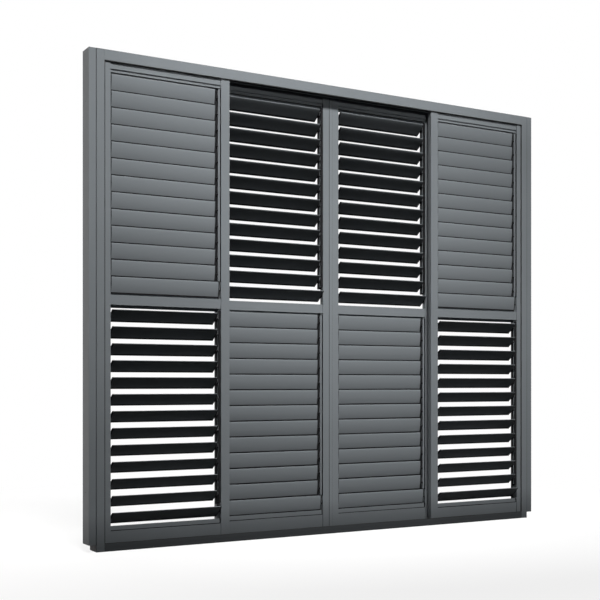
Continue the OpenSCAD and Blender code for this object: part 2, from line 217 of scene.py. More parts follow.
frame_coat = powder_coat("frame_coat", ANTHRACITE, FRAME_GRAIN, foot_shade=FRAME_FOOT_SHADE)
blade_coat = powder_coat("blade_coat", ANTHRACITE * BLADE_TONE, BLADE_GRAIN, BLADE_STRETCH)
print("coats", frame_coat.name, blade_coat.name)

# %% [markdown]
# ### Coat of the sill, worn on the tracks
#
# The rollers run on two round-topped tracks in the sill. There the coat is polished through to the bare aluminium. The
# bare line could be a piece of its own, but it has no thickness, so it is a mask in the finish: high enough above the
# floor, and near enough to the mid-plane of a track. The sill's coat is darker than the rest: painted shade, for the
# light that falls off by the floor.

# %% Sill coat
# The sill's darker tone and its darker foot are painted shade.
SILL_SHADE, SILL_FOOT_SHADE = 0.42, 0.55
TRACK_Y, TRACK_TOP = 25 * MM, 10 * MM
BARE_HALF, BARE_DEPTH = 1.4 * MM, 0.9 * MM
BARE_METAL = (0.62, 0.63, 0.64)


def sill_finish():
    """The powder coat darkened as painted shade, with bare metal on the tracks."""
    finish = powder_coat("sill_coat", ANTHRACITE * SILL_SHADE, FRAME_GRAIN, foot_shade=SILL_FOOT_SHADE)
    tree = finish.node_tree
    shader = next(n for n in tree.nodes if n.type == "BSDF_PRINCIPLED")
    place = next(n for n in tree.nodes if n.type == "TEX_COORD").outputs["Object"]
    axes = add(tree, "ShaderNodeSeparateXYZ", Vector=place).outputs
    near = maths(tree, "COMPARE", maths(tree, "ABSOLUTE", axes["Y"]), TRACK_Y, BARE_HALF)
    high = maths(tree, "COMPARE", axes["Z"], TRACK_TOP, BARE_DEPTH)
    bare = maths(tree, "MULTIPLY", near, high)
    coat_colour = shader.inputs["Base Color"].links[0].from_socket
    plug(tree, shader.inputs["Base Color"], tinted(tree, bare, coat_colour, BARE_METAL))
    plug(tree, shader.inputs["Metallic"], bare)
    return finish


sill_coat = sill_finish()
print("sill coat with bare tracks at y", TRACK_Y, "and z", TRACK_TOP)

# %% [markdown]
# ### Black plastic and brush pile
#
# End caps, pivots, link rods and rollers are moulded black plastic with a fine leather-like mould grain. The seals are
# nylon pile: thousands of short fibres side by side, which look like a dark, streaky felt. The streaks come from a
# noise that is long across the seal and very short along it.

# %% Plastic and pile
PLASTIC_TONES = (0.005, 0.005, 0.006), (0.010, 0.010, 0.011)
PLASTIC_GRAIN, PLASTIC_CLOUD, PLASTIC_ROUGHNESS, PLASTIC_SPECULAR = 0.6 * MM, 12 * MM, (0.45, 0.6), 0.08
PLASTIC_BUMP = {"strength": 0.3, "depth": 0.1 * MM}
PILE_TONES = (0.006, 0.006, 0.006), (0.03, 0.03, 0.03)
FIBRE, FIBRE_STRETCH, PILE_ROUGHNESS, PILE_SPECULAR = 0.5 * MM, (1, 12, 1), (0.8, 0.95), 0.1
PILE_BUMP = {"strength": 0.6, "depth": 0.3 * MM}


def black_plastic_finish():
    """Moulded nylon: the grain is in the bump, and a slow cloud moves the colour and the gloss."""
    finish, tree, shader, place = new_finish("black_plastic")
    cloud = noise(tree, place, PLASTIC_CLOUD)
    plug(tree, shader.inputs["Base Color"], tinted(tree, ranged(tree, cloud, 0, 1), *PLASTIC_TONES))
    plug(tree, shader.inputs["Roughness"], ranged(tree, cloud, *PLASTIC_ROUGHNESS))
    bumped(tree, shader, noise(tree, place, PLASTIC_GRAIN, FINE), **PLASTIC_BUMP)
    shader.inputs["Specular IOR Level"].default_value = PLASTIC_SPECULAR
    return finish


def brush_pile_finish():
    """Nylon pile: its fibres are in the colour, the gloss and the bump."""
    finish, tree, shader, place = new_finish("brush_pile")
    fibres = noise(tree, place, FIBRE, FINE, FIBRE_STRETCH)
    plug(tree, shader.inputs["Base Color"], tinted(tree, ranged(tree, fibres, 0, 1), *PILE_TONES))
    plug(tree, shader.inputs["Roughness"], ranged(tree, fibres, *PILE_ROUGHNESS))
    bumped(tree, shader, fibres, **PILE_BUMP)
    shader.inputs["Specular IOR Level"].default_value = PILE_SPECULAR
    return finish


black_plastic = black_plastic_finish()
brush_pile = brush_pile_finish()
print("dark finishes", black_plastic.name, brush_pile.name)

# %% [markdown]
# ## From a bmesh to a piece
#
# Each new piece is shaped as a bmesh, in its place in the row frame. This helper turns it into an object at the origin,
# gives it its finish, and makes it ride on the CAD body that carries it.

# %% Helper that finishes a piece
SMOOTH_BELOW = radians(32)


def finished(name, shape, finish, body, smooth=False):
    """Make the bmesh an object that rides on a body."""
    mesh = bpy.data.meshes.new(name)
    shape.to_mesh(mesh)
    shape.free()
    mesh.materials.append(finish)
    if smooth:
        mesh.shade_smooth()
        mesh.set_sharp_from_angle(angle=SMOOTH_BELOW)
    piece = bpy.data.objects.new(name, mesh)
    bpy.context.scene.collection.objects.link(piece)
    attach(piece, body)
    return piece


print("piece helper ready")

# %% [markdown]
# ## Profiles with rounded edges
#
# An extruded profile never has knife edges: the die leaves a radius of about half a millimetre, and the coat rounds it
# further, so each edge shows a fine light line. The CAD solids have sharp edges. Their copies are merged, the triangles
# of each flat are joined, and the long edges are bevelled. The copy then stands for its node. Round holes are short
# edges, so they stay as they are.

# %% Round the long edges
WELD, FLAT, SHARP = 0.002 * MM, radians(0.5), radians(50)
EDGE_RADIUS, LONG_EDGE = 0.5 * MM, 20 * MM


def merged_copy(node):
    """A bmesh copy of a CAD node with one face for each flat."""
    shape = bmesh.new()
    shape.from_mesh(frame["nodes"][node].data)
    bmesh.ops.remove_doubles(shape, verts=shape.verts, dist=WELD)
    bmesh.ops.dissolve_limit(shape, angle_limit=FLAT, verts=shape.verts, edges=shape.edges,
                             use_dissolve_boundaries=False, delimit={"NORMAL"})
    return shape


def round_off(shape, edges, radius, clamp=False):
    """Bevel edges to a small round."""
    bmesh.ops.bevel(shape, geom=edges, offset=radius, offset_type="OFFSET", affect="EDGES", segments=2, profile=0.5,
                    material=-1, clamp_overlap=clamp)


def round_long_edges(shape):
    """Round the sharp edges that run along a profile, and count them."""
    sharp = [e for e in shape.edges
             if len(e.link_faces) == 2 and e.calc_face_angle() > SHARP and e.calc_length() > LONG_EDGE]
    round_off(shape, sharp, EDGE_RADIUS, clamp=True)
    return len(sharp)


print("edges longer than", LONG_EDGE / MM, "mm get a radius of", EDGE_RADIUS / MM, "mm")

# %% [markdown]
# A hollow profile's end has holes in it, and its joined faces fold over when the bevel draws them in, so the ends are
# taken off and filled anew from their rims. The bearing strips are cut off at their back, because the light stop behind
# them is black plastic and gets a piece of its own further down.

# %% Ends and cuts
IN_PLANE = 0.001 * MM


def all_at(verts, axis, place):
    """True if all the vertices lie in one plane across an axis."""
    return all(abs(v.co[axis] - place) < IN_PLANE for v in verts)


def only(kind, geom):
    """What is of one kind among the things that an operator made."""
    return [made for made in geom if isinstance(made, kind)]


def refill_ends(shape):
    """Fill both ends of a profile anew, around its hollows, and count the open edges that are left."""
    corners = [[pick(v.co[i] for v in shape.verts) for i in range(3)] for pick in (min, max)]
    axis = max(range(3), key=lambda i: corners[1][i] - corners[0][i])
    for corner, way in zip(corners, (-1, 1)):
        end = corner[axis]
        bmesh.ops.delete(shape, geom=[f for f in shape.faces if all_at(f.verts, axis, end)], context="FACES")
        rim = [e for e in shape.edges if e.is_boundary and all_at(e.verts, axis, end)]
        normal = Vector([way if i == axis else 0 for i in range(3)])
        made = bmesh.ops.triangle_fill(shape, edges=rim, use_beauty=True, normal=normal)["geom"]
        for face in only(bmesh.types.BMFace, made):
            face.normal_update()
            if face.normal.dot(normal) < 0:
                face.normal_flip()
    return sum(e.is_boundary for e in shape.edges)


def cut_behind(shape, y):
    """Cut off what lies behind a depth, and close the cut."""
    bmesh.ops.bisect_plane(shape, geom=shape.verts[:] + shape.edges[:] + shape.faces[:], plane_co=(0, y, 0),
                           plane_no=(0, 1, 0), clear_outer=True)
    bmesh.ops.holes_fill(shape, edges=[e for e in shape.edges if e.is_boundary], sides=0)


print("ends are refilled within", IN_PLANE / MM, "mm of a profile's ends")

# %% Round the profiles
LIGHT_STOP_FRONT, CUT_ROOM = 5 * MM, 0.02 * MM
LEAVES = (1, 2, 3, 4)
FUSED_LEAVES = (2, 3, 4)
body_of_node = {node: body for body, nodes in frame["record"]["behaviour"]["bodies"].items() for node in nodes}
openings = {n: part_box(f"panel_{n}_mid_rail") for n in LEAVES}
mid_plane = {n: (low.y + high.y) / 2 for n, (low, high) in openings.items()}

frame_profiles = ["head_rail", "left_jamb", "right_jamb", "left_side_post", "right_side_post"]
leaf_profiles = [f"panel_1_{p}" for p in ("left_stile", "right_stile", "top_rail", "mid_rail", "bottom_rail",
                                          "bearing_strips")]
leaf_profiles += [f"panel_{n}_{p}" for n in FUSED_LEAVES for p in ("stiles", "top_rail", "mid_rail", "strips")]
rounded = unfilled = 0
for node in frame_profiles + leaf_profiles + ["sill_rail"]:
    shape = merged_copy(node)
    if node.endswith("strips"):
        leaf = int(node.split("_")[1])
        cut_behind(shape, mid_plane[leaf] + LIGHT_STOP_FRONT - CUT_ROOM)
    rounded += round_long_edges(shape)
    unfilled += refill_ends(shape)
    coat = sill_coat if node == "sill_rail" else frame_coat
    piece = finished(f"{node}_profile", shape, coat, body_of_node[node])
    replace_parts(piece, node)
print("rounded edges", rounded, "open edges left", unfilled)

# %% [markdown]
# ## Bottom rails and their rollers
#
# In the leaves 2 to 4 the bottom rail and its two rollers are one CAD node, because they move together there. The rail
# is coated metal and the rollers are plastic, so the copy is split: what is joined to the rail's own vertices is the
# rail, and the rest are the rollers. In leaf 1 the rollers and the link rods are nodes with the right shape, so they
# only get the plastic's finish.

# %% Split rails from rollers
def connected(start):
    """All vertices that edges join to start."""
    seen, todo = {start}, [start]
    while todo:
        for edge in todo.pop().link_edges:
            for vert in edge.verts:
                if vert not in seen:
                    seen.add(vert)
                    todo.append(vert)
    return seen


for n in FUSED_LEAVES:
    node, body = f"panel_{n}_bottom_rail", f"panel_{n}"
    rail, rollers = merged_copy(node), merged_copy(node)
    for shape, keep_rail in ((rail, True), (rollers, False)):
        rail_verts = connected(min(shape.verts, key=lambda v: v.co.x))
        bmesh.ops.delete(shape, geom=[v for v in shape.verts if (v in rail_verts) != keep_rail], context="VERTS")
    round_long_edges(rail)
    print(node, "faces", len(rail.faces), "rollers", len(rollers.faces))
    piece = finished(f"{node}_profile", rail, frame_coat, body)
    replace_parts(piece, node)
    finished(f"panel_{n}_rollers", rollers, black_plastic, body, smooth=True)

for node in ("panel_1_left_roller", "panel_1_right_roller", "panel_1_upper_link_rod", "panel_1_lower_link_rod"):
    mesh = frame["nodes"][node].data
    mesh.materials.clear()
    mesh.materials.append(black_plastic)

# %% [markdown]
# ## Blades
#
# A blade is an extruded lens: two long, flat arcs that run into a small round at each edge. The outline is drawn the
# way a compass draws it: one vertex is spun about the centre of each arc in turn. Then the outline is filled and
# extruded along X. So few faces are enough, because smooth shading hides the steps, and 104 blades stay light. A blade
# is drawn level on its pivot, then turned to its tilt and moved to its place.

# %% Lens outline
BLADE_TIP, BLADE_HALF, BLADE_EDGE = 40 * MM, 5.5 * MM, 2 * MM
LONG_ARC = (BLADE_TIP ** 2 + BLADE_HALF ** 2 - BLADE_EDGE ** 2) / (2 * (BLADE_HALF - BLADE_EDGE))
LONG_STEPS, EDGE_STEPS, OUTLINE_WELD = 10, 6, 0.01 * MM


def lens_face(shape, x):
    """Draw the blade's outline at x, level on the X axis, and fill it."""
    swing = atan2(BLADE_TIP, LONG_ARC - BLADE_HALF)
    toward = Vector((0, -sin(swing), cos(swing)))
    pen = [shape.verts.new(Vector((x, -BLADE_TIP, 0)) + BLADE_EDGE * toward)]
    for centre, angle, steps in (((x, 0, BLADE_HALF - LONG_ARC), 2 * swing, LONG_STEPS),
                                 ((x, BLADE_TIP, 0), pi - 2 * swing, EDGE_STEPS),
                                 ((x, 0, LONG_ARC - BLADE_HALF), 2 * swing, LONG_STEPS),
                                 ((x, -BLADE_TIP, 0), pi - 2 * swing, EDGE_STEPS)):
        turned = bmesh.ops.spin(shape, geom=pen, cent=centre, axis=(-1, 0, 0), angle=angle, steps=steps)
        pen = only(bmesh.types.BMVert, turned["geom_last"])
    bmesh.ops.remove_doubles(shape, verts=[v for v in shape.verts if all_at([v], 0, x)], dist=OUTLINE_WELD)
    outline = [e for e in shape.edges if not e.link_faces and all_at(e.verts, 0, x)]
    return bmesh.ops.contextual_create(shape, geom=outline)["faces"][0]


def pushed(shape, face, to):
    """Extrude a face along X to a place, and return the new end face."""
    made = bmesh.ops.extrude_face_region(shape, geom=[face])["geom"]
    end = only(bmesh.types.BMFace, made)[0]
    for v in end.verts:
        v.co.x = to
    return end


trial = bmesh.new()
lens_face(trial, 0.0)
print("outline of", len(trial.verts), "points, long arc", round(LONG_ARC / MM, 1), "mm")
trial.free()

# %% [markdown]
# The places come from the frame itself: the joints of the first leaf give the pivots' heights, and each leaf's middle
# rail gives its opening. The tilts are those of the photograph: in the outer leaves the upper bank is closed and the
# lower one open, and in the inner leaves it is the other way round.

# %% Where the blades are
CLOSED, OPEN = radians(82), radians(40)
OUTER_LEAVES = (1, 4)
heights = {bank: sorted(j["pos_m"][2] for j in frame["joints"] if j["name"].startswith(f"{bank}_tilt"))
           for bank in ("upper", "lower")}
tilts = {n: {"upper": CLOSED, "lower": OPEN} if n in OUTER_LEAVES else {"upper": OPEN, "lower": CLOSED}
         for n in LEAVES}
print({bank: (round(z[0], 4), round(z[-1], 4), len(z)) for bank, z in heights.items()})

# %% [markdown]
# Pins, lips and many small things further down are made of two simple shapes: a round bar that is laid down, and a
# block, which is a cube that is stretched between two corners and rounded at its edges.

# %% Bars and blocks
def add_round(shape, radius, length, middle, about, sides):
    """A round bar around a middle, laid down by a quarter turn about an axis; return its vertices."""
    made = bmesh.ops.create_cone(shape, cap_ends=True, segments=sides, radius1=radius, radius2=radius,
                                 depth=length)["verts"]
    bmesh.ops.transform(shape, verts=made, matrix=Matrix.Translation(middle) @ Matrix.Rotation(pi / 2, 4, about))
    return made


def add_block(shape, corner, opposite, radius=0.0):
    """A block between two opposite corners, with its edges rounded by radius."""
    size = [abs(b - a) for a, b in zip(corner, opposite)]
    middle = (Vector(corner) + Vector(opposite)) / 2
    made = bmesh.ops.create_cube(shape, size=1.0)["verts"]
    bmesh.ops.transform(shape, verts=made, matrix=Matrix.Translation(middle) @ Matrix.Diagonal((*size, 1)))
    if radius:
        round_off(shape, list({e for v in made for e in v.link_edges}), radius)


print("bars and blocks ready")

# %% [markdown]
# The blade proper is coated metal; its two end caps are black plastic, a little rounded, each with a collar as thick as
# the blade and with the pivot's shoulder and pin. The collars cover the blade's last few millimetres at each end, so
# their black also stands as painted shade where the stiles shade the blade's ends. A black lip runs along the blade's
# lower edge and closes most of the room to the next blade; it is painted shade, the dark line of shadow at each joint
# of a closed bank. All the blades of a bank are alike but the lowest, which is longer, because its pivot sits in the
# stile. So a blade and its caps are drawn only twice, as mesh patterns on the X axis, and copied from there.

# %% Patterns of the blades and caps
LEFT_GAP, RIGHT_END, DRIVE_GAP = 3.5 * MM, 27 * MM, 8 * MM
# The collar's black over the blade's ends is partly painted shade.
STRIP_W, COLLAR, CAP, CAP_ROUND = 11 * MM, 3 * MM, 2.2 * MM, 0.7 * MM
SHOULDER_R, SHOULDER_START, SHOULDER_ROOM = 4.6 * MM, 0.9 * CAP, 1 * MM
PIN_R, PIN_LAP, PIN_IN, PIN_SIDES = 3 * MM, 0.1 * MM, 1.5 * MM, 14
# The lip is painted shade: the dark line at each joint of a closed bank.
SHADE_LIP_LOW, SHADE_LIP_HIGH, SHADE_LIP_ROUND = (29.5 * MM, -6 * MM), (36 * MM, -2 * MM), 0.5 * MM
half_opening = (openings[1][1].x - openings[1][0].x) / 2


def blade_ends(lowest):
    """Left and right end of a blade, from the leaf's middle."""
    return -half_opening + LEFT_GAP, half_opening - (DRIVE_GAP if lowest else RIGHT_END)


def pattern(name, shape):
    """Keep a bmesh as a mesh to copy from."""
    bmesh.ops.recalc_face_normals(shape, faces=shape.faces)
    mesh = bpy.data.meshes.new(name)
    shape.to_mesh(mesh)
    shape.free()
    return mesh


def blade_pattern(lowest):
    """The metal of a blade, between its collars."""
    shape = bmesh.new()
    left, right = blade_ends(lowest)
    pushed(shape, lens_face(shape, left + COLLAR), right - COLLAR)
    return pattern("blade_pattern", shape)


def caps_pattern(lowest):
    """The plastic of a blade: caps and pivots, and the collars and the lip, whose black is painted shade."""
    shape = bmesh.new()
    left, right = blade_ends(lowest)
    for end, way, seat in ((left, -1, -half_opening), (right, 1, half_opening - (0 if lowest else STRIP_W))):
        rim = pushed(shape, lens_face(shape, end - way * COLLAR), end + way * CAP)
        round_off(shape, list(rim.edges), CAP_ROUND)
        shoulder = seat - way * SHOULDER_ROOM
        for radius, x0, x1 in ((SHOULDER_R, end + way * SHOULDER_START, shoulder),
                               (PIN_R, shoulder - way * PIN_LAP, seat + way * PIN_IN)):
            add_round(shape, radius, abs(x1 - x0), ((x0 + x1) / 2, 0, 0), "Y", PIN_SIDES)
    add_block(shape, (left, *SHADE_LIP_LOW), (right, *SHADE_LIP_HIGH), SHADE_LIP_ROUND)
    return pattern("caps_pattern", shape)


blade_patterns = {lowest: blade_pattern(lowest) for lowest in (True, False)}
caps_patterns = {lowest: caps_pattern(lowest) for lowest in (True, False)}
print("blade from", [round(x, 4) for x in blade_ends(False)], "lowest to", round(blade_ends(True)[1], 4),
      "faces", len(blade_patterns[False].polygons), "and", len(caps_patterns[False].polygons))

# %% [markdown]
# A copy is turned to the bank's tilt, front edge up, and moved to its pivot. On the first leaf every blade tilts by
# itself, so each one gets a piece of its own on its own body. On the other leaves a bank moves as one with its leaf, so
# all its blades share a mesh.

# %% Blades of the first leaf
def add_copy(shape, copied, leaf, bank, k):
    """Add one blade or pair of caps to a shape, at its place in the leaf."""
    before = len(shape.verts)
    shape.from_mesh(copied)
    shape.verts.ensure_lookup_table()
    low, high = openings[leaf]
    pivot = Vector(((low.x + high.x) / 2, mid_plane[leaf], heights[bank][k]))
    bmesh.ops.transform(shape, matrix=Matrix.Translation(pivot) @ Matrix.Rotation(-tilts[leaf][bank], 4, "X"),
                        verts=shape.verts[before:])


for bank in ("upper", "lower"):
    for k in range(len(heights[bank])):
        node = f"panel_1_{bank}_blade_{k + 1:02d}"
        blade, caps = bmesh.new(), bmesh.new()
        add_copy(blade, blade_patterns[k == 0], 1, bank, k)
        add_copy(caps, caps_patterns[k == 0], 1, bank, k)
        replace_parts(finished(f"{node}_skin", blade, blade_coat, node, smooth=True), node)
        finished(f"{node}_caps", caps, black_plastic, node, smooth=True)
print("blades of leaf 1:", sum(len(z) for z in heights.values()))

# %% Blades of the other leaves, one piece for each leaf
for n in FUSED_LEAVES:
    blades, caps = bmesh.new(), bmesh.new()
    for bank in ("upper", "lower"):
        for k in range(len(heights[bank])):
            add_copy(blades, blade_patterns[k == 0], n, bank, k)
            add_copy(caps, caps_patterns[k == 0], n, bank, k)
    print(f"leaf {n}:", len(blades.faces) + len(caps.faces), "faces")
    piece = finished(f"panel_{n}_blades", blades, blade_coat, f"panel_{n}", smooth=True)
    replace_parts(piece, f"panel_{n}_louvres")
    finished(f"panel_{n}_caps", caps, black_plastic, f"panel_{n}", smooth=True)

# %% [markdown]
# ## Light stops
#
# The right end of a bank has a gap where the pivots are. Behind it runs a flat strip of black plastic, so from outside
# the gap is a black line and not a bright one. It starts just behind the upper edge of the lowest closed blade and ends
# under the rail above. A black gasket stands in the corner of the stile and the bearing strip as painted shade, the
# dark line in that corner. Beside a closed bank it leaves most of the strip to be seen; beside an open one it covers
# the strip, as painted shadow of the open blades. A black lip on the front of the stop strip, at the top of the leaf,
# takes the topmost blade; its black is painted shade, the dark line over that blade.

# %% Light stops
CLOSED_REACH = BLADE_TIP * sin(CLOSED) + BLADE_EDGE
ROOM_OVER_BANK = {"lower": 8 * MM, "upper": 3.5 * MM}
STOP_LEFT, STOP_T, STOP_LAP = 22.8 * MM, 2.5 * MM, 6 * MM
# The gasket's black is painted shade; beside an open bank it is as wide as the strip, as painted shadow of the blades.
LEAF_T, SHADE_GASKET_SET, SHADE_GASKET_D = 28 * MM, 1.5 * MM, 9 * MM
SHADE_GASKET_W = {CLOSED: 2.2 * MM, OPEN: STRIP_W}
STRIP_FRONT, SHADE_LIP_T, SHADE_LIP_H, SOFT_EDGE = 5 * MM, 1.2 * MM, 4 * MM, 0.3 * MM
for n in LEAVES:
    low, high = openings[n]
    stop_y, shade_gasket_y, shade_lip_y = mid_plane[n] + LIGHT_STOP_FRONT, mid_plane[n] - LEAF_T / 2, mid_plane[n] - STRIP_FRONT
    stops = bmesh.new()
    for bank, z in heights.items():
        foot, top = z[0] + CLOSED_REACH, z[-1] + CLOSED_REACH
        add_block(stops, (high.x - STOP_LEFT, stop_y, foot - STOP_LAP),
                  (high.x, stop_y + STOP_T, top + ROOM_OVER_BANK[bank]), SOFT_EDGE)
        add_block(stops, (high.x - SHADE_GASKET_W[tilts[n][bank]], shade_gasket_y + SHADE_GASKET_SET, foot),
                  (high.x, shade_gasket_y + SHADE_GASKET_D, top), SOFT_EDGE)
    strip_z = heights["upper"][-1] + CLOSED_REACH + ROOM_OVER_BANK["upper"]
    # A black lip on the strip's front, painted shade over the topmost blade.
    add_block(stops, (low.x, shade_lip_y - SHADE_LIP_T, strip_z), (high.x, shade_lip_y, strip_z + SHADE_LIP_H), SOFT_EDGE)
    finished(f"panel_{n}_light_stops", stops, black_plastic, f"panel_{n}")
print("light stops start", STOP_LEFT / MM, "mm left of the right stile")

# %% [markdown]
# ## Seals, plugs and screws
#
# Small things that the eye expects. Brush pile in the edges of the jambs, the head and the sill closes the running room
# in front of and behind the leaves; it ends a third of a millimetre before the leaf, so nothing rubs. Beside the
# jambs its black edge also stands as painted shade, the dark line where a leaf meets a jamb.

# %% Brush seals on the frame
left_jamb, right_jamb, head, sill = (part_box(n) for n in ("left_jamb", "right_jamb", "head_rail", "sill_rail"))
LEAF_FACE, PILE_ROOM, PILE_SET, PILE_ROUND = 39 * MM, 0.3 * MM, 0.6 * MM, 0.4 * MM
JAMB_PILE, HEAD_PILE, SILL_PILE = 3.5 * MM, 3.5 * MM, 2.5 * MM
foot, top = sill[1].z, head[0].z
seals = bmesh.new()
for side in (-1, 1):
    y0, y1 = side * (head[1].y - PILE_SET), side * (LEAF_FACE + PILE_ROOM)
    for x0, x1 in ((left_jamb[1].x, left_jamb[1].x + JAMB_PILE), (right_jamb[0].x - JAMB_PILE, right_jamb[0].x)):
        add_block(seals, (x0, y0, foot + SILL_PILE), (x1, y1, top - HEAD_PILE), PILE_ROUND)
    for z0, z1 in ((top - HEAD_PILE, top), (foot, foot + SILL_PILE)):
        add_block(seals, (head[0].x, y0, z0), (head[1].x, y1, z1), PILE_ROUND)
finished("frame_seals", seals, brush_pile, "frame")
print("seals stop", PILE_ROOM / MM, "mm before the leaves")

# %% [markdown]
# A bead of sealant fills the joint of jamb and side post and shows as the fine dark line between them. A black pad on
# the jamb's outer side under the post is painted shade, for that side of the jamb in shadow. A soft black lip lies on
# each bottom rail before its ledge, and turns up at the ledge's right end; it is painted shade in the crease at the
# ledge's foot. Two thin black seals edge the cover strip over the meeting stiles; they are painted shade, the shadow
# lines at the strip's two edges.

# %% Joint beads, and painted shade pads and ledge seals
PLUG_SET, BEAD_W, BEAD_T, SHADE_PAD_T = 0.4 * MM, 2.5 * MM, 0.9 * MM, 1.5 * MM
left_post, right_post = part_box("left_side_post"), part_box("right_side_post")
beads = bmesh.new()
for post, edge, way in ((left_post, left_jamb[0].x, -1), (right_post, right_jamb[1].x, 1)):
    depth = post[1].y
    for side in (-1, 1):
        add_block(beads, (edge, side * depth, post[0].z),
                  (edge + way * BEAD_W, side * (depth + BEAD_T), post[1].z - PLUG_SET), SOFT_EDGE)
    # A black pad on the jamb's outer side under the post: painted shade for that shaded side.
    add_block(beads, (edge, -depth, PLUG_SET), (edge + way * SHADE_PAD_T, depth, post[0].z - PLUG_SET), SOFT_EDGE)
finished("frame_beads", beads, black_plastic, "frame")

LEDGE_H, LEDGE_FRONT, NOTCH_W = 24 * MM, 7 * MM, 5 * MM
for n in LEAVES:
    low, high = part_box(f"panel_{n}_bottom_rail")
    front = (low.y + high.y) / 2 - LEDGE_FRONT
    ledge = high.z - LEDGE_H
    shade_lips = bmesh.new()
    # The lip and its turn-up are black as painted shade in the crease at the ledge's foot.
    add_block(shade_lips, (low.x, front - SHADE_LIP_T, ledge), (high.x, front, ledge + SHADE_LIP_H), SOFT_EDGE)
    add_block(shade_lips, (high.x - NOTCH_W, front - SHADE_LIP_T, ledge + SHADE_LIP_H), (high.x, front, high.z), SOFT_EDGE)
    finished(f"panel_{n}_ledge_shade_seal", shade_lips, black_plastic, f"panel_{n}")
print("beads, pads and ledge seals")

# %% Seals of the cover strip, black as painted shade lines
COVER_W, COVER_T, COVER_SET = 18 * MM, 1.5 * MM, 0.2 * MM
LEFT_SHADE_SEAL_W, RIGHT_SHADE_SEAL_W = 1.4 * MM, 0.5 * MM
low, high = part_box("panel_3_strips")
# Both seals are painted shade: the shadow lines at the cover strip's edges.
shade_lips = bmesh.new()
for x0, x1 in ((low.x - LEFT_SHADE_SEAL_W, low.x), (low.x + COVER_W, low.x + COVER_W + RIGHT_SHADE_SEAL_W)):
    add_block(shade_lips, (x0, low.y + COVER_SET, low.z), (x1, low.y + COVER_T, high.z))
finished("panel_3_cover_seals", shade_lips, black_plastic, "panel_3")
print("cover seals at", round(low.x, 4), "and", round(low.x + COVER_W, 4))

# %% [markdown]
# Black plugs close the open ends of the jambs and of the side posts. They stand a little inside the ends, with room for
# the profile around them.

# %% End plugs in jambs and posts
JAMB_BACK, JAMB_SKIN, POST_SKIN, FIT = 12 * MM, 2 * MM, 2.5 * MM, 0.2 * MM
PLUG_DEPTH, PLUG_ROUND = 12 * MM, 0.8 * MM


def add_plugs(shape, x0, x1, depth, foot, top):
    """Plugs in the lower and the upper end of an upright profile."""
    for z0, z1 in ((foot + PLUG_SET, foot + PLUG_DEPTH), (top - PLUG_DEPTH, top - PLUG_SET)):
        add_block(shape, (x0, -depth, z0), (x1, depth, z1), PLUG_ROUND)


plugs = bmesh.new()
for jamb, post, way in ((left_jamb, left_post, 1), (right_jamb, right_post, -1)):
    outer, web = (jamb[0].x, post[0].x) if way > 0 else (jamb[1].x, post[1].x)
    add_plugs(plugs, outer + way * (JAMB_SKIN + FIT), outer + way * (JAMB_BACK - JAMB_SKIN - FIT),
              jamb[1].y - JAMB_SKIN - FIT, 0, jamb[1].z)
    add_plugs(plugs, web + way * (POST_SKIN + FIT), outer - way * FIT, post[1].y - POST_SKIN - FIT,
              post[0].z, post[1].z)
finished("frame_plugs", plugs, black_plastic, "frame")
print("plugs in jambs and posts")

# %% [markdown]
# Pan-head screws hold the bearing strips where the gasket leaves them open: a disc, its rim rounded by a bevel, with a
# cross recess that is two small black blocks let into it, as painted shade for the dark inside of the recess.

# %% Screws in the bearing strips
SCREW_IN, HEAD_R, HEAD_H, HEAD_ROUND, HEAD_SIDES = 6.6 * MM, 2.6 * MM, 1.1 * MM, 0.6 * MM, 16
CROSS, CROSS_W, CROSS_OUT = 2.6 * MM, 0.7 * MM, 0.03 * MM
SCREWS_OVER = (1, 6, 11)


def add_screw(shape, cross, x, y, z):
    """A pan head that stands out to the front at y, and the black cross in it, which is painted shade."""
    face = y - HEAD_H
    made = add_round(shape, HEAD_R, HEAD_H, (x, y - HEAD_H / 2, z), "X", HEAD_SIDES)
    rim = [e for e in {e for v in made for e in v.link_edges} if all_at(e.verts, 1, face)]
    round_off(shape, rim, HEAD_ROUND)
    for wide, tall in ((CROSS, CROSS_W), (CROSS_W, CROSS)):
        add_block(cross, (x - wide / 2, face - CROSS_OUT, z - tall / 2), (x + wide / 2, y - HEAD_H / 2, z + tall / 2))


for n in LEAVES:
    heads, cross_shades = bmesh.new(), bmesh.new()
    closed_bank = next(z for bank, z in heights.items() if tilts[n][bank] == CLOSED)
    for k in SCREWS_OVER:
        between = (closed_bank[k] + closed_bank[k + 1]) / 2
        add_screw(heads, cross_shades, openings[n][1].x - SCREW_IN, mid_plane[n] - STRIP_FRONT, between)
    finished(f"panel_{n}_screws", heads, frame_coat, f"panel_{n}", smooth=True)
    finished(f"panel_{n}_screw_cross_shades", cross_shades, black_plastic, f"panel_{n}")
print("screws", len(LEAVES) * len(SCREWS_OVER))

# %% [markdown]
# ## The white studio
#
# The photograph is a cut-out on white with only a breath of shadow. The world is white to the eye and in reflections,
# and dim as a light, so the white does not wash the object out. The floor works the same way: the eye sees white that
# still takes the object's shadow, while the light that falls back on the object from below stays small. Far from the
# object the floor fades into the world's white, so there is no horizon.

# %% World
WORLD_LIGHT = 0.015
WHITE = (1, 1, 1, 1)


def seen_directly(tree):
    """1 for the eye, for reflections and through glass, 0 for light on its way to a surface."""
    path = add(tree, "ShaderNodeLightPath").outputs
    total = maths(tree, "ADD", maths(tree, "ADD", path["Is Camera Ray"], path["Is Glossy Ray"]),
                  path["Is Transmission Ray"])
    total.node.use_clamp = True
    return total


def mixed(tree, factor, first, second):
    """The first shader where the factor is 0, the second where it is 1."""
    mix = add(tree, "ShaderNodeMixShader", Fac=factor)
    plug(tree, mix.inputs[1], first.outputs[0])
    plug(tree, mix.inputs[2], second.outputs[0])
    return mix


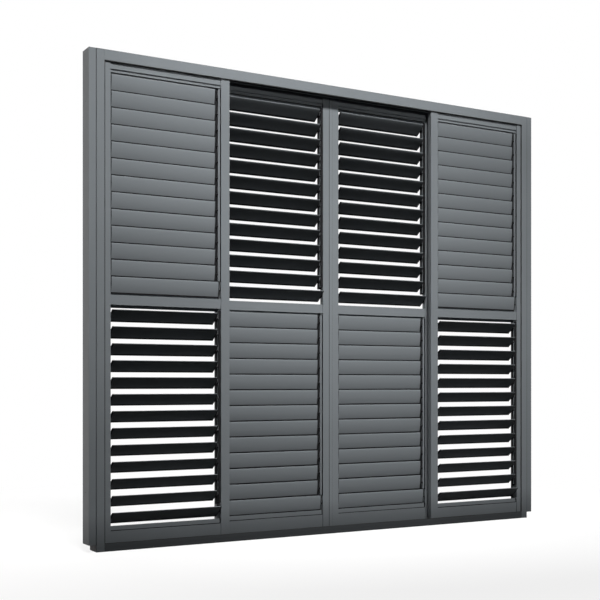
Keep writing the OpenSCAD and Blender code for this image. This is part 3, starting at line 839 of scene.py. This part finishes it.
world = bpy.data.worlds.new("studio")
bpy.context.scene.world = world
world.use_nodes = True
tree = world.node_tree
tree.nodes.clear()
dim = add(tree, "ShaderNodeBackground", Color=WHITE, Strength=WORLD_LIGHT)
white = add(tree, "ShaderNodeBackground", Color=WHITE, Strength=1.0)
add(tree, "ShaderNodeOutputWorld", Surface=mixed(tree, seen_directly(tree), dim, white).outputs[0])
print("world", world.name)

# %% Floor
FLOOR_SIZE, FADE_FROM, FADE_TO = 60, 1.6, 3.2
SHADOWED, UNLIT, GLOW_SHARE = (0.85, 0.85, 0.85, 1), (0.03, 0.03, 0.03, 1), 0.8
floor_shape = bmesh.new()
bmesh.ops.create_grid(floor_shape, x_segments=1, y_segments=1, size=FLOOR_SIZE)
floor_mesh = bpy.data.meshes.new("floor")
floor_shape.to_mesh(floor_mesh)
floor_shape.free()
floor = bpy.data.objects.new("floor", floor_mesh)
bpy.context.scene.collection.objects.link(floor)

floor_finish = bpy.data.materials.new("studio_floor")
floor_finish.use_nodes = True
tree = floor_finish.node_tree
tree.nodes.clear()
place = add(tree, "ShaderNodeTexCoord").outputs["Object"]
distance = add(tree, "ShaderNodeVectorMath", Vector=place)
distance.operation = "LENGTH"
far = add(tree, "ShaderNodeMapRange", Value=distance.outputs["Value"], From_Min=FADE_FROM, From_Max=FADE_TO)
shadowed = add(tree, "ShaderNodeBsdfDiffuse", Color=SHADOWED)
glow = add(tree, "ShaderNodeEmission", Color=WHITE, Strength=1.0)
unlit = add(tree, "ShaderNodeBsdfDiffuse", Color=UNLIT)
shown = mixed(tree, far.outputs["Result"], mixed(tree, GLOW_SHARE, shadowed, glow), glow)
add(tree, "ShaderNodeOutputMaterial", Surface=mixed(tree, seen_directly(tree), unlit, shown).outputs[0])
floor_mesh.materials.append(floor_finish)
print("floor", floor.name)

# %% [markdown]
# ## Light
#
# In the photograph the faces are brightest at the top and fall off towards the floor, the left side is evenly lit, and
# the undersides of the open blades are nearly black. An open blade's underside looks down and 40 degrees forwards, so
# the front light has to stand higher than that above every blade: one long softbox up in front. A grid narrows its
# beam, so that the light falls off towards the floor. The head shades the top rails of the inner leaves from it, so a
# weak, narrow strip with a tight grid stands lower and reaches in under the head. Tall softboxes on the left and on the
# right stand behind the plane of the shutter, so they light the sides and leave the front alone. Two more, behind and
# overhead, let the back and the top be looked at too.

# %% Softboxes
def softbox(name, place, aim, size, watts, colour=(1, 1, 1), grid=180):
    """A rectangular area light that faces a point and that the camera does not see; grid is its beam in degrees."""
    data = bpy.data.lights.new(name, "AREA")
    data.color = colour
    data.spread = radians(grid)
    data.shape = "RECTANGLE"
    data.size, data.size_y = size
    data.energy = watts
    lamp = bpy.data.objects.new(name, data)
    bpy.context.scene.collection.objects.link(lamp)
    lamp.location = place
    lamp.rotation_euler = (Vector(aim) - Vector(place)).to_track_quat("-Z", "Y").to_euler()
    lamp.visible_camera = False
    return lamp


WARM = (1.0, 0.92, 0.87)
lamps = [
    softbox("front_softbox", (-0.75, -3.5, 5.7), aim=(0.05, 0, 1.28), size=(3.6, 0.6), watts=71, grid=42),
    softbox("head_softbox", (0.3, -5.0, 3.1), aim=(0.3, 0, 2.35), size=(3.0, 0.1), watts=1.0, grid=6),
    softbox("left_softbox", (-4.6, 0.8, 1.2), aim=(-1.3, 0.1, 1.15), size=(1.2, 3.2), watts=116, colour=WARM),
    softbox("right_softbox", (4.6, 0.8, 1.4), aim=(1.3, 0.1, 1.15), size=(1.2, 3.0), watts=60),
    softbox("back_softbox", (0.3, 3.4, 4.0), aim=(0, 0, 1.2), size=(4.0, 1.2), watts=110),
    softbox("top_softbox", (0, 0, 5.0), aim=(0, 0, 0), size=(3.0, 1.0), watts=30),
]
print("lamps", [(lamp.name, lamp.data.energy) for lamp in lamps])
